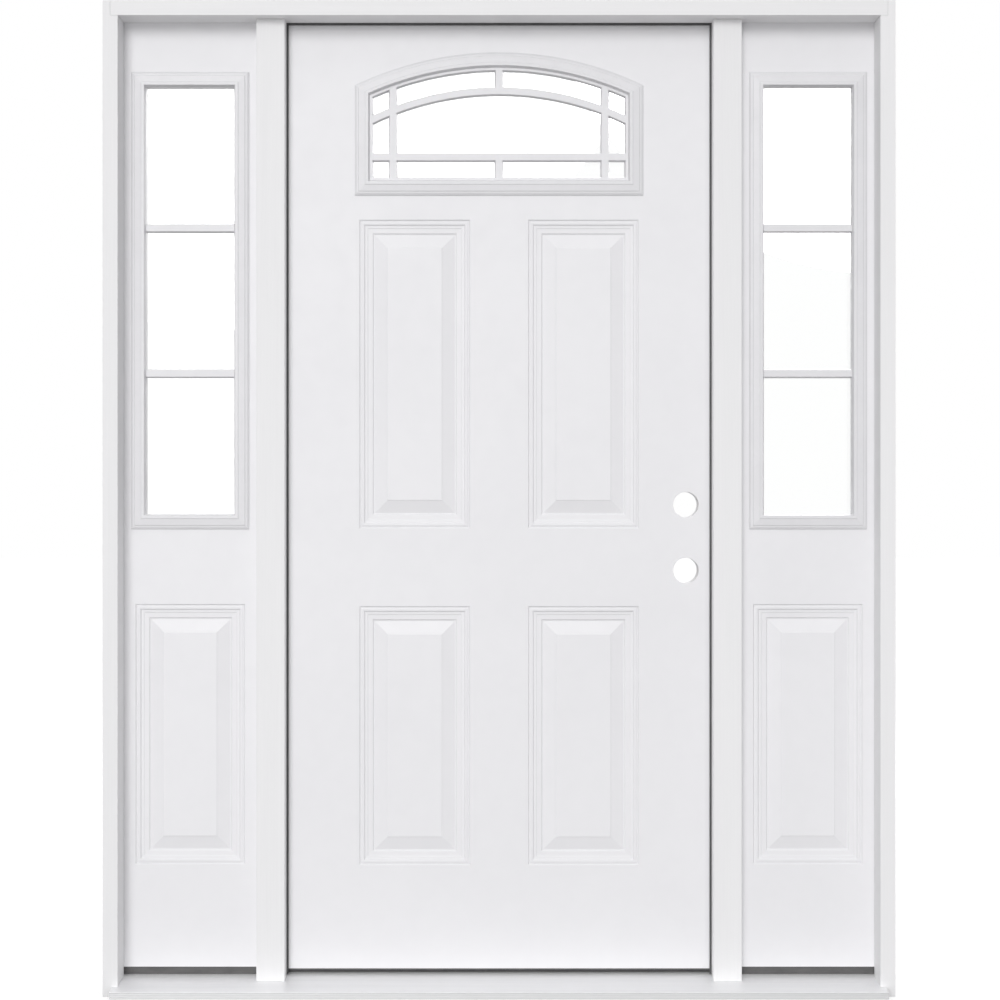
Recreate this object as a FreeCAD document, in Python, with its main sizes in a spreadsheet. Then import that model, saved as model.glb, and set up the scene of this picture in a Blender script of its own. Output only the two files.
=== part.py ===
import FreeCAD, Part
import Sketcher
import os
import re

# Entry door with two fixed sidelights, an inswing unit seen from outside.
# X runs to the right as seen from outside, Y into the building, Z up, in millimetres.
# The origin lies on the underside of the sill, in line with the outer edge of the jambs.

doc = FreeCAD.newDocument("door_with_sidelights")

# Driving dimensions, in millimetres

SIZES = {
    "overall_height": 2076.0,
    "jamb_depth": 116.0,
    "jamb_thickness": 31.75,
    "rabbet_depth": 12.7,
    "rabbet_width": 50.0,
    "head_housing": 15.9,
    "door_opening": 900.0,
    "sidelight_opening": 284.75,
    "mullion_face": 59.5,
    "mullion_setback": 30.0,
    "nose_reach": 27.0,
    "nose_height": 15.5,
    "nose_lip": 15.0,
    "deck_gauge": 2.0,
    "deck_cover": 14.0,
    "deck_back_height": 31.5,
    "cap_seat": 24.0,
    "cap_top": 35.0,
    "cap_inset": 3.0,
    "slab_thickness": 44.5,
    "skin_gauge": 1.0,
    "stile_width": 25.4,
    "seal_gap": 5.5,
    "seal_clearance": 0.5,
    "seal_reach": 4.0,
    "seal_cover": 8.0,
    "leaf_side_gap": 6.3,
    "leaf_head_gap": 5.5,
    "leaf_bottom": 41.5,
    "sweep_drop": 5.0,
    "sweep_web": 1.6,
    "sweep_fin": 1.6,
    "sweep_inset": 2.5,
    "sidelight_clearance": 2.5,
    "sidelight_bottom": 46.5,
    "block_inset": 3.0,
    "relief_plate": 14.0,
    "panel_margin": 160.0,
    "panel_inner_edge": 61.4,
    "lower_panel_bottom": 260.5,
    "lower_panel_top": 809.5,
    "upper_panel_bottom": 974.2,
    "panel_lite_gap": 81.7,
    "sidelight_panel_margin": 36.4,
    "sidelight_panel_bottom": 263.4,
    "sidelight_panel_top": 814.2,
    "lite_margin": 180.9,
    "lite_head_margin": 98.5,
    "lite_height": 242.5,
    "lite_arch_radius": 675.0,
    "lite_neck": 12.0,
    "lite_neck_clearance": 0.5,
    "lite_neck_depth": 10.5,
    "inner_sight_setback": 6.0,
    "pane_edge": 8.0,
    "pane_thickness": 3.0,
    "spacer_inner": 1.0,
    "spacer_outer": 7.0,
    "bar_width": 19.5,
    "bar_bevel": 2.5,
    "bar_border": 9.5,
    "prairie_inset": 50.8,
    "prairie_rise": 51.5,
    "sidelight_lite_margin": 57.9,
    "sidelight_face_shift": 2.0,
    "sidelight_lite_bottom": 1003.0,
    "sidelight_lite_head_margin": 144.2,
    "handle_bore_radius": 27.0,
    "edge_bore_radius": 12.7,
    "bore_backset": 60.3,
    "handle_bore_height": 885.0,
    "bore_spacing": 139.7,
    "lock_block_width": 100.0,
    "lock_block_margin": 65.0,
    "hinge_height": 101.6,
    "hinge_plate": 2.5,
    "hinge_plate_width": 34.0,
    "knuckle_radius": 6.0,
    "knuckle_clearance": 1.0,
    "knuckle_gap": 0.3,
    "pin_radius": 3.0,
    "pin_clearance": 0.05,
    "pin_head_radius": 4.6,
    "pin_head_height": 3.0,
    "top_hinge_drop": 177.8,
    "bottom_hinge_rise": 279.4,
}

# Panel section, from its edge to the raised field: how far in each line lies, and how deep

MOULDING = [
    ("edge", 0.0, 0.0),
    ("groove", 2.6, 3.0),
    ("bead", 6.8, 1.4),
    ("bead_edge", 10.2, 1.6),
    ("first_drop", 12.6, 4.4),
    ("first_floor", 17.2, 4.6),
    ("second_drop", 19.0, 5.6),
    ("second_floor", 28.2, 5.9),
    ("third_drop", 30.6, 8.3),
    ("foot", 32.4, 8.5),
    ("bevel", 58.0, 2.2),
    ("field", 60.5, 0.9),
]
for line, inset, depth in MOULDING:
    SIZES["inset_" + line] = inset
    SIZES["depth_" + line] = depth

# Lite frame section: how far each ridge lies outside the glass opening, and how proud

FRAME_RIDGES = [
    ("outer", 30.2, 2.5),
    ("bead", 26.0, 5.0),
    ("ledge", 22.5, 5.4),
    ("band", 21.5, 7.0),
    ("shoulder", 8.5, 8.2),
    ("crest", 7.5, 9.5),
    ("lip", 1.5, 9.5),
    ("sight", -1.5, 0.5),
]
for ridge, spread, proud in FRAME_RIDGES:
    SIZES["spread_" + ridge] = spread
    SIZES["proud_" + ridge] = proud

sheet = doc.addObject("Spreadsheet::Sheet", "sizes")
for row, (alias, value) in enumerate(SIZES.items(), start=1):
    sheet.set("A%d" % row, alias.replace("_", " "))
    sheet.set("B%d" % row, str(value))
    sheet.setAlias("B%d" % row, alias)
doc.recompute()

# Places worked out from the driving dimensions

PLACES = {
    "half_width": "door_opening / 2 + mullion_face + sidelight_opening + jamb_thickness",
    "jamb_face": "half_width - jamb_thickness",
    "jamb_rabbet": "jamb_face + rabbet_depth",
    "head_end": "half_width - head_housing",
    "head_stop": "overall_height - jamb_thickness",
    "head_rabbet": "head_stop + rabbet_depth",
    "mullion_inner": "door_opening / 2",
    "mullion_outer": "mullion_inner + mullion_face",
    "web_inner": "mullion_inner + rabbet_depth",
    "web_outer": "mullion_outer - rabbet_depth",
    "stop_depth": "jamb_depth - rabbet_width",
    "deck_back": "stop_depth + deck_cover",
    "deck_slope": "(deck_back_height - nose_height) / (deck_back + nose_reach)",
    "deck_front": "nose_height + nose_reach * deck_slope",
    "leaf_side": "web_inner - leaf_side_gap",
    "leaf_top": "head_rabbet - leaf_head_gap",
    "leaf_face": "stop_depth + seal_gap",
    "leaf_back": "leaf_face + slab_thickness",
    "leaf_middle": "leaf_face + slab_thickness / 2",
    "stile_inner": "leaf_side - stile_width",
    "core_face": "leaf_face + skin_gauge",
    "core_back": "leaf_back - skin_gauge",
    "sidelight_inner": "web_outer + sidelight_clearance",
    "sidelight_outer": "jamb_rabbet - sidelight_clearance",
    "sidelight_centre": "(sidelight_inner + sidelight_outer) / 2",
    "sidelight_half": "(sidelight_outer - sidelight_inner) / 2",
    "sidelight_top": "head_rabbet - sidelight_clearance",
    "panel_outer_edge": "leaf_side - panel_margin",
    "upper_panel_top": "lite_bottom - panel_lite_gap",
    "sidelight_panel_half": "sidelight_half - sidelight_panel_margin",
    "lite_half_width": "leaf_side - lite_margin",
    "lite_crown": "leaf_top - lite_head_margin",
    "lite_bottom": "lite_crown - lite_height",
    "lite_arch_centre": "lite_crown - lite_arch_radius",
    "prairie_side_bar": "lite_half_width - prairie_inset",
    "prairie_cross_bar": "lite_bottom + prairie_rise",
    "prairie_arch_radius": "lite_arch_radius - prairie_inset",
    "sidelight_lite_half": "sidelight_half - sidelight_lite_margin",
    "sidelight_lite_top": "sidelight_top - sidelight_lite_head_margin",
    "sidelight_row": "(sidelight_lite_top - sidelight_lite_bottom + 2 * spread_sight + bar_width) / 3",
    "bore_x": "leaf_side - bore_backset",
    "upper_bore_height": "handle_bore_height + bore_spacing",
    "pin_x": "-(leaf_side + leaf_side_gap / 2)",
    "pin_y": "leaf_back + knuckle_radius + knuckle_clearance",
    "knuckle_height": "(hinge_height - 4 * knuckle_gap) / 5",
    "top_hinge": "leaf_top - top_hinge_drop - hinge_height",
    "bottom_hinge": "leaf_bottom + bottom_hinge_rise",
    "middle_hinge": "(top_hinge + bottom_hinge) / 2",
}


def formula(text):
    """Write an expression in the sheet's own cells, with worked-out places opened up."""
    def opened(match):
        word = match.group(0)
        if word in PLACES:
            return "(" + formula(PLACES[word]) + ")"
        if word in SIZES:
            return "sizes." + word
        return word
    return re.sub(r"[a-z][a-z_]+", opened, text)


def bind(thing, sizes):
    for name, text in sizes.items():
        thing.setExpression(name, formula(text))


# Plain solids and booleans

def box(name, x, y, z):
    """A block between two formulas on each axis."""
    block = doc.addObject("Part::Box", name)
    for side, axis, (low, high) in zip(("Length", "Width", "Height"), "xyz", (x, y, z)):
        bind(block, {side: "(%s) - (%s)" % (high, low), "Placement.Base." + axis: low})
    return block


TURNS = {
    "X": FreeCAD.Rotation(FreeCAD.Vector(0, 1, 0), 90),
    "Y": FreeCAD.Rotation(FreeCAD.Vector(1, 0, 0), -90),
    "Z": FreeCAD.Rotation(),
}


def rod(name, axis, start, radius, length):
    """A cylinder from its start point along an axis."""
    cylinder = doc.addObject("Part::Cylinder", name)
    cylinder.Placement.Rotation = TURNS[axis]
    bind(cylinder, {"Radius": radius, "Height": length})
    for letter, place in zip("xyz", start):
        bind(cylinder, {"Placement.Base." + letter: place})
    return cylinder


def frustum(name, y, x, z, inset):
    """A block whose rectangle shrinks from inset[0] to inset[1] between two depths."""
    wedge = doc.addObject("Part::Wedge", name)
    first, last = inset
    bind(wedge, {"Ymin": y[0], "Ymax": y[1]})
    bind(wedge, {"Xmin": "%s + %s" % (x[0], first), "Xmax": "%s - %s" % (x[1], first)})
    bind(wedge, {"Zmin": "%s + %s" % (z[0], first), "Zmax": "%s - %s" % (z[1], first)})
    bind(wedge, {"X2min": "%s + %s" % (x[0], last), "X2max": "%s - %s" % (x[1], last)})
    bind(wedge, {"Z2min": "%s + %s" % (z[0], last), "Z2max": "%s - %s" % (z[1], last)})
    return wedge


def fuse(name, shapes):
    joined = doc.addObject("Part::MultiFuse", name)
    joined.Shapes = shapes
    return joined


def cut(name, base, tools):
    pared = doc.addObject("Part::Cut", name)
    pared.Base = base
    pared.Tool = tools[0] if len(tools) == 1 else fuse(name + "_tools", tools)
    return pared


def common(name, one, other):
    kept = doc.addObject("Part::Common", name)
    kept.Base = one
    kept.Tool = other
    return kept


def gather(name, shapes):
    """Separate solids kept as one node."""
    group = doc.addObject("Part::Compound", name)
    group.Links = shapes
    return group


def mirrored(name, source, normal, base):
    """The mirror image of a piece in a plane at right angles to an axis."""
    image = doc.addObject("Part::Mirroring", name)
    image.Source = source
    image.Normal = normal
    bind(image, {"Base." + axis: place for axis, place in base.items()})
    return image


ACROSS = FreeCAD.Vector(1, 0, 0)
INWARD = FreeCAD.Vector(0, 1, 0)

# Bodies made from sketches

SKETCH_START_RADIUS = 100.0


def origin_plane(body, role):
    return [feature for feature in body.Origin.OriginFeatures if feature.Role == role][0]


def new_sketch(body, name, plane, offset):
    sketch = body.newObject("Sketcher::SketchObject", name)
    sketch.AttachmentSupport = [(origin_plane(body, plane), "")]
    sketch.MapMode = "FlatFace"
    if offset:
        bind(sketch, {"AttachmentOffset.Base.z": offset})
    return sketch


def fix(sketch, kind, geometry, point, text, value):
    """Hold a point of a sketch at a distance from the sketch's origin."""
    index = sketch.addConstraint(Sketcher.Constraint(kind, -1, 1, geometry, point, value))
    sketch.setExpression("Constraints[%d]" % index, formula(text))


def outline(body, name, plane, points, offset=None):
    """A closed sketch of straight lines, each corner held by two formulas."""
    sketch = new_sketch(body, name, plane, offset)
    count = len(points)
    start = [FreeCAD.Rotation(FreeCAD.Vector(0, 0, 1), 360.0 * i / count).multVec(
        FreeCAD.Vector(SKETCH_START_RADIUS, 0, 0)) for i in range(count)]
    for i in range(count):
        sketch.addGeometry(Part.LineSegment(start[i], start[(i + 1) % count]), False)
    for i in range(count):
        sketch.addConstraint(Sketcher.Constraint("Coincident", i, 2, (i + 1) % count, 1))
    for i, (across, up) in enumerate(points):
        fix(sketch, "DistanceX", i, 1, across, start[i].x)
        fix(sketch, "DistanceY", i, 1, up, start[i].y)
    return sketch


def camber_outline(body, name, offset, spread):
    """The lite's outline: straight foot and sides under a low arch, spread outwards."""
    sketch = new_sketch(body, name, "XZ_Plane", offset)
    half, radius = SIZES["door_opening"] / 2 - SIZES["lite_margin"], SIZES["lite_arch_radius"]
    crown = SIZES["overall_height"] - SIZES["jamb_thickness"] - SIZES["lite_head_margin"]
    foot, centre = crown - SIZES["lite_height"], crown - radius
    shoulder = centre + (radius ** 2 - half ** 2) ** 0.5
    corners = [(-half, foot), (half, foot), (half, shoulder), (-half, shoulder)]
    points = [FreeCAD.Vector(x, z, 0) for x, z in corners]
    for first, last in ((0, 1), (1, 2), (3, 0)):
        sketch.addGeometry(Part.LineSegment(points[first], points[last]), False)
    middle = FreeCAD.Vector(0, centre + radius, 0)
    sketch.addGeometry(Part.Arc(points[2], middle, points[3]), False)
    for joint in ((0, 2, 1, 1), (1, 2, 3, 1), (3, 2, 2, 1), (2, 2, 0, 1)):
        sketch.addConstraint(Sketcher.Constraint("Coincident", *joint))
    fix(sketch, "DistanceX", 0, 1, "-(lite_half_width + %s)" % spread, -half)
    fix(sketch, "DistanceY", 0, 1, "lite_bottom - (%s)" % spread, foot)
    fix(sketch, "DistanceX", 0, 2, "lite_half_width + %s" % spread, half)
    fix(sketch, "DistanceY", 0, 2, "lite_bottom - (%s)" % spread, foot)
    sketch.addConstraint(Sketcher.Constraint("Vertical", 1))
    sketch.addConstraint(Sketcher.Constraint("Vertical", 2))
    fix(sketch, "DistanceX", 3, 3, "0", 0.0)
    fix(sketch, "DistanceY", 3, 3, "lite_arch_centre", centre)
    index = sketch.addConstraint(Sketcher.Constraint("Radius", 3, radius))
    sketch.setExpression("Constraints[%d]" % index, formula("lite_arch_radius + %s" % spread))
    return sketch


def new_body(name):
    return doc.addObject("PartDesign::Body", name)


def pad(body, name, sketch, length, midplane=False):
    feature = body.newObject("PartDesign::Pad", name)
    feature.Profile = sketch
    feature.Midplane = midplane
    bind(feature, {"Length": length})
    return feature


def pocket(body, name, sketch, length, reverse=False, midplane=False):
    """Cut a profile out of a body, and make sure that it does cut."""
    doc.recompute()
    before = body.Shape.Volume
    feature = body.newObject("PartDesign::Pocket", name)
    feature.Profile = sketch
    feature.Reversed = reverse
    feature.Midplane = midplane
    bind(feature, {"Length": length})
    doc.recompute()
    if body.Shape.Volume >= before:
        raise ValueError("%s cuts nothing from %s" % (name, body.Name))
    return feature


def loft(body, kind, name, sketches):
    feature = body.newObject("PartDesign::" + kind, name)
    feature.Profile = sketches[0]
    feature.Sections = sketches[1:]
    feature.Ruled = True
    return feature


nodes = []


def keep(piece, label):
    """Name a finished piece and list it as a node."""
    piece.Label = label
    nodes.append(piece)
    return piece


# Jambs

HEAD_PROFILE = [
    ("0", "head_stop"),
    ("stop_depth", "head_stop"),
    ("stop_depth", "head_rabbet"),
    ("jamb_depth", "head_rabbet"),
    ("jamb_depth", "overall_height"),
    ("0", "overall_height"),
]
SILL_PROFILE = [
    ("-jamb_thickness", "-jamb_thickness"),
    ("jamb_depth + jamb_thickness", "-jamb_thickness"),
    ("jamb_depth + jamb_thickness", "cap_seat"),
    ("deck_back", "cap_seat"),
    ("deck_back", "deck_back_height"),
    ("-jamb_thickness", "deck_front - jamb_thickness * deck_slope"),
]


def make_head_jamb():
    body = new_body("head_jamb_body")
    sketch = outline(body, "head_section", "YZ_Plane", HEAD_PROFILE)
    pad(body, "head_length", sketch, "2 * (head_end)", midplane=True)
    keep(body, "head_jamb")


def make_side_jamb(label, side):
    """A rabbeted post with the head housed in its top and the sill in its foot."""
    body = new_body(label + "_body")
    section = [
        ("%s * half_width" % side, "0"),
        ("%s * half_width" % side, "jamb_depth"),
        ("%s * (jamb_rabbet)" % side, "jamb_depth"),
        ("%s * (jamb_rabbet)" % side, "stop_depth"),
        ("%s * (jamb_face)" % side, "stop_depth"),
        ("%s * (jamb_face)" % side, "0"),
    ]
    pad(body, label + "_post", outline(body, label + "_section", "XY_Plane", section), "overall_height")
    leaves_inwards = side == "(-1)"
    head = outline(body, label + "_head_cut", "YZ_Plane", HEAD_PROFILE, "%s * (head_end)" % side)
    pocket(body, label + "_head_housing", head, "jamb_thickness", reverse=leaves_inwards)
    sill = outline(body, label + "_sill_cut", "YZ_Plane", SILL_PROFILE, "%s * (jamb_rabbet)" % side)
    pocket(body, label + "_sill_housing", sill, "jamb_thickness", reverse=leaves_inwards)
    keep(body, label)


# Mullion posts

def make_mullion(label, side, mortises):
    """A post with a rabbet each side, standing on the sloping deck and coped under the head."""
    body = new_body(label + "_body")
    section = [
        ("%s * (mullion_inner)" % side, "mullion_setback"),
        ("%s * (mullion_outer)" % side, "mullion_setback"),
        ("%s * (mullion_outer)" % side, "stop_depth"),
        ("%s * (web_outer)" % side, "stop_depth"),
        ("%s * (web_outer)" % side, "jamb_depth"),
        ("%s * (web_inner)" % side, "jamb_depth"),
        ("%s * (web_inner)" % side, "stop_depth"),
        ("%s * (mullion_inner)" % side, "stop_depth"),
    ]
    pad(body, label + "_post", outline(body, label + "_section", "XY_Plane", section), "head_rabbet")
    foot = outline(body, label + "_foot_cut", "YZ_Plane", SILL_PROFILE)
    pocket(body, label + "_foot", foot, "8 * (half_width)", midplane=True)
    head = outline(body, label + "_head_cut", "YZ_Plane", HEAD_PROFILE)
    pocket(body, label + "_head", head, "8 * (half_width)", midplane=True)
    if mortises:
        keep(cut(label + "_mortised", body, mortises), label)
    else:
        keep(body, label)


# Sill

def make_sill():
    """Composite base under an aluminium deck, with a raised cap under the leaf."""
    base = new_body("sill_base_body")
    base_section = [
        ("deck_gauge - nose_reach", "0"),
        ("jamb_depth", "0"),
        ("jamb_depth", "cap_seat"),
        ("deck_back", "cap_seat"),
        ("deck_back", "deck_back_height - deck_gauge"),
        ("deck_gauge - nose_reach", "nose_height - deck_gauge + deck_gauge * deck_slope"),
    ]
    pad(base, "sill_base_length", outline(base, "sill_base_section", "YZ_Plane", base_section),
        "2 * (jamb_rabbet)", midplane=True)
    keep(base, "sill_base")
    deck = new_body("sill_deck_body")
    deck_section = [
        ("-nose_reach", "nose_height - nose_lip"),
        ("deck_gauge - nose_reach", "nose_height - nose_lip"),
        ("deck_gauge - nose_reach", "nose_height - deck_gauge + deck_gauge * deck_slope"),
        ("deck_back", "deck_back_height - deck_gauge"),
        ("deck_back", "deck_back_height"),
        ("-nose_reach", "nose_height"),
    ]
    pad(deck, "sill_deck_length", outline(deck, "sill_deck_section", "YZ_Plane", deck_section),
        "2 * (jamb_rabbet)", midplane=True)
    keep(deck, "sill_deck")
    cap = new_body("sill_cap_body")
    cap_section = [
        ("deck_back", "cap_seat"),
        ("jamb_depth", "cap_seat"),
        ("jamb_depth", "cap_top - cap_inset"),
        ("jamb_depth - cap_inset", "cap_top"),
        ("deck_back + cap_inset", "cap_top"),
        ("deck_back", "cap_top - cap_inset / 2"),
    ]
    pad(cap, "sill_cap_length", outline(cap, "sill_cap_section", "YZ_Plane", cap_section),
        "2 * (web_inner)", midplane=True)
    keep(cap, "sill_cap")


def make_sidelight_block(side_name, side):
    """The dark strip that a sidelight stands on, fitted to the slope of the deck."""
    label = side_name + "_sidelight_block"
    body = new_body(label + "_body")
    section = [
        ("stop_depth + block_inset", "nose_height + (stop_depth + block_inset + nose_reach) * deck_slope"),
        ("deck_back", "deck_back_height"),
        ("deck_back", "cap_seat"),
        ("stop_depth + slab_thickness", "cap_seat"),
        ("stop_depth + slab_thickness", "sidelight_bottom"),
        ("stop_depth + block_inset", "sidelight_bottom"),
    ]
    centre = "%s * (jamb_rabbet + web_outer) / 2 - (jamb_rabbet - web_outer) / 2" % side
    pad(body, label + "_length", outline(body, label + "_section", "YZ_Plane", section, centre),
        "jamb_rabbet - (web_outer)")
    keep(body, label)


# Weatherstrips round the leaf

def make_weatherstrips():
    depth = ("stop_depth", "leaf_face - seal_clearance")
    height = ("deck_back_height", "head_stop - seal_reach")
    keep(box("hinge_seal", ("-(mullion_inner) - seal_cover", "seal_reach - (mullion_inner)"), depth, height),
         "hinge_side_weatherstrip")
    keep(box("lock_seal", ("mullion_inner - seal_reach", "mullion_inner + seal_cover"), depth, height),
         "lock_side_weatherstrip")
    keep(box("head_seal", ("-(mullion_inner) - seal_cover", "mullion_inner + seal_cover"), depth,
             ("head_stop - seal_reach", "head_stop + seal_cover")), "head_weatherstrip")


# Embossed steel skins

def pressed_sheet(label, face, panels, plate):
    """The slab's face with each line of the panel moulding cut or raised in turn."""
    pressed = plate
    for (outer, _, shallow), (inner, _, deep) in zip(MOULDING, MOULDING[1:]):
        falls = deep > shallow
        near, far = (outer, inner) if falls else (inner, outer)
        depths = ("%s + depth_%s" % (face, near), "%s + depth_%s" % (face, far))
        lines = [frustum("%s_panel%d_%s" % (label, index + 1, inner), depths, x, z, ("inset_" + near, "inset_" + far))
                 for index, (x, z) in enumerate(panels)]
        name = "%s_%s" % (label, inner)
        pressed = cut(name, pressed, lines) if falls else fuse(name, [pressed] + lines)
    return pressed


def embossed_skin(label, face, x, z, panels, openings):
    """A thin sheet that follows the same relief front and back, with its openings cut."""
    plate = box(label + "_plate", x, (face, face + " + relief_plate"), z)
    pressed = pressed_sheet(label, face, panels, plate)
    behind = gather(label + "_behind", [pressed])
    bind(behind, {"Placement.Base.y": "skin_gauge"})
    sheet_metal = cut(label + "_sheet", pressed, [behind])
    return keep(cut(label + "_opened", sheet_metal, openings), label)


# Lites

def outline_maker(centre=None):
    """A function that draws a lite's outline at a depth, spread outwards."""
    if centre is None:
        return camber_outline

    def rectangle(body, name, offset, spread):
        half = "(sidelight_lite_half + %s)" % spread
        low, high = "sidelight_lite_bottom - (%s)" % spread, "sidelight_lite_top + %s" % spread
        left, right = "%s - %s" % (centre, half), "%s + %s" % (centre, half)
        points = [(left, low), (right, low), (right, high), (left, high)]
        return outline(body, name, "XZ_Plane", points, offset)
    return rectangle


def lite_prism(name, draw, y, spread):
    """A straight plug of the lite's outline between two depths."""
    body = new_body(name)
    pad(body, name + "_pad", draw(body, name + "_sketch", "-(%s)" % y[1], spread), "(%s) - (%s)" % (y[1], y[0]))
    return body


def lite_moulding(label, draw, face, setback):
    """One half of a moulded lite frame; a setback widens the ridges nearest the glass."""
    body = new_body(label + "_body")

    def drawn(name, depth, spread):
        return draw(body, "%s_%s" % (label, name), "-(%s)" % depth, spread)

    def raised(name, ridge, spread):
        return drawn(name, "%s - proud_%s" % (face, ridge), spread)

    outer = [drawn("base", face, "spread_outer")]
    outer += [raised(ridge, ridge, "spread_" + ridge) for ridge in ("outer", "bead", "ledge", "band")]
    outer += [raised(ridge, ridge, "spread_%s + %s" % (ridge, setback)) for ridge in ("shoulder", "crest")]
    loft(body, "AdditiveLoft", label + "_flange", outer)
    neck = drawn("neck", "%s + lite_neck_depth" % face, "lite_neck")
    pad(body, label + "_neck_pad", neck, "lite_neck_depth")
    inner = [raised(ridge + "_edge", ridge, "spread_%s + %s" % (ridge, setback)) for ridge in ("lip", "sight")]
    inner.append(drawn("back", "%s + lite_neck_depth" % face, "spread_sight + %s" % setback))
    doc.recompute()
    before = body.Shape.Volume
    loft(body, "SubtractiveLoft", label + "_sight", inner)
    doc.recompute()
    if body.Shape.Volume >= before:
        raise ValueError("%s has no opening" % label)
    return body


def make_lite_frame(label, draw, face, middle):
    """The moulded plastic frame on both faces, clamped through the slab."""
    keep(lite_moulding(label + "_outer", draw, face, "0"), label + "_outside")
    inner = lite_moulding(label + "_inner", draw, face, "inner_sight_setback")
    keep(mirrored(label + "_turned", inner, INWARD, {"y": middle}), label + "_inside")


def make_glass(label, draw, face, middle):
    """Two panes held apart by a spacer."""
    pane_face = "%s + lite_neck_depth" % face
    near = lite_prism(label + "_near", draw, (pane_face, pane_face + " + pane_thickness"), "pane_edge")
    far = mirrored(label + "_far", near, INWARD, {"y": middle})
    keep(gather(label + "_panes", [near, far]), label)
    gap = (pane_face + " + pane_thickness", "%s + slab_thickness - lite_neck_depth - pane_thickness" % face)
    ring = lite_prism(label + "_ring", draw, gap, "spacer_outer")
    hole = lite_prism(label + "_hole", draw, gap, "spacer_inner")
    keep(cut(label + "_spacer_ring", ring, [hole]), label + "_spacer")


def upright_bar(name, depth, centre, z):
    """A bar that widens from its face to the glass."""
    x = ("%s - bar_width / 2" % centre, "%s + bar_width / 2" % centre)
    bar = frustum(name, depth, x, z, ("bar_bevel", "0"))
    bind(bar, {"Zmin": z[0], "Zmax": z[1]})
    return bar


def level_bar(name, depth, x, centre):
    z = ("%s - bar_width / 2" % centre, "%s + bar_width / 2" % centre)
    bar = frustum(name, depth, x, z, ("bar_bevel", "0"))
    bind(bar, {"Xmin": x[0], "Xmax": x[1]})
    return bar


def arch_cone(name, depth, face_radius, glass_radius):
    cone = doc.addObject("Part::Cone", name)
    cone.Placement.Rotation = TURNS["Y"]
    bind(cone, {"Radius1": face_radius, "Radius2": glass_radius, "Height": "%s - (%s)" % (depth[1], depth[0])})
    bind(cone, {"Placement.Base.y": depth[0], "Placement.Base.z": "lite_arch_centre"})
    return cone


def make_door_grille(draw, face):
    """Prairie bars: a border, side bars, a cross bar, an arched bar and two short middle bars."""
    depth = (face, "%s + lite_neck_depth" % face)
    border = new_body("door_grille_border")
    whole = draw(border, "door_border_outline", "-(%s)" % depth[1], "spread_sight")
    pad(border, "door_border_pad", whole, "lite_neck_depth")
    inner = [draw(border, "door_border_face", "-(%s)" % depth[0], "(bar_bevel - bar_border)"),
             draw(border, "door_border_back", "-(%s)" % depth[1], "(-bar_border)")]
    loft(border, "SubtractiveLoft", "door_border_opening", inner)
    half, foot = "(lite_half_width + spread_sight)", "(lite_bottom - spread_sight)"
    bars = [upright_bar("prairie_left", depth, "-(prairie_side_bar)", (foot, "lite_crown")),
            upright_bar("prairie_right", depth, "prairie_side_bar", (foot, "lite_crown")),
            level_bar("prairie_cross", depth, ("-" + half, half), "prairie_cross_bar"),
            upright_bar("prairie_lower", depth, "0", (foot, "prairie_cross_bar")),
            upright_bar("prairie_upper", depth, "0", ("lite_arch_centre + prairie_arch_radius", "lite_crown"))]
    rim = "prairie_arch_radius + bar_width / 2"
    bore = "prairie_arch_radius - bar_width / 2"
    ring = cut("prairie_ring", arch_cone("prairie_rim", depth, rim + " - bar_bevel", rim),
               [arch_cone("prairie_bore", depth, bore + " + bar_bevel", bore)])
    bars.append(common("prairie_arch", ring, box("prairie_zone", ("-" + half, half), depth,
                                                 ("prairie_cross_bar", "lite_crown"))))
    limit = lite_prism("door_grille_limit", draw, depth, "spread_sight")
    crossing = common("door_grille_crossing", fuse("door_grille_bars", bars), limit)
    keep(fuse("door_grille_joined", [border, crossing]), "door_grille_outside")


def make_sidelight_grille(label, centre, face):
    """Two bars that divide the lite into three equal panes."""
    depth = (face, "%s + lite_neck_depth" % face)
    half = "(sidelight_lite_half + spread_sight)"
    x = ("%s - %s" % (centre, half), "%s + %s" % (centre, half))
    first = "(sidelight_lite_bottom - spread_sight - bar_width / 2 + (sidelight_row)"
    bars = [level_bar("%s_bar1" % label, depth, x, first + ")"),
            level_bar("%s_bar2" % label, depth, x, first + " + (sidelight_row))")]
    keep(gather(label + "_bars", bars), label + "_outside")


# Sidelights

def make_sidelight(side_name, side):
    label = side_name + "_sidelight"
    centre = "(%s * (sidelight_centre))" % side
    face = "stop_depth"
    middle = "stop_depth + slab_thickness / 2"
    x = (centre + " - sidelight_half", centre + " + sidelight_half")
    z = ("sidelight_bottom", "sidelight_top")
    pattern = "(%s * (sidelight_centre + sidelight_face_shift))" % side
    draw = outline_maker(pattern)
    hole = lite_prism(label + "_cutout", draw, (face + " - relief_plate", face + " + 2 * relief_plate"),
                      "lite_neck + lite_neck_clearance")
    panel = ((pattern + " - (sidelight_panel_half)", pattern + " + sidelight_panel_half"),
             ("sidelight_panel_bottom", "sidelight_panel_top"))
    outer = embossed_skin(label + "_outer_skin", face, x, z, [panel], [hole])
    keep(mirrored(label + "_inner_turned", outer, INWARD, {"y": middle}), label + "_inner_skin")
    core = (face + " + skin_gauge", face + " + slab_thickness - skin_gauge")
    stiles = [box(label + "_left_stile", (x[0], x[0] + " + stile_width"), core, z),
              box(label + "_right_stile", (x[1] + " - stile_width", x[1]), core, z)]
    keep(gather(label + "_stile_pair", stiles), label + "_stiles")
    between = (x[0] + " + stile_width", x[1] + " - stile_width")
    rails = [box(label + "_bottom_rail", between, core, (z[0], z[0] + " + stile_width")),
             box(label + "_top_rail", between, core, (z[1] + " - stile_width", z[1]))]
    keep(gather(label + "_rail_pair", rails), label + "_rails")
    make_lite_frame(label + "_lite_frame", draw, face, middle)
    make_glass(label + "_glass", draw, face, middle)
    make_sidelight_grille(label + "_grille", pattern, face)


# Door leaf

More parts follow.
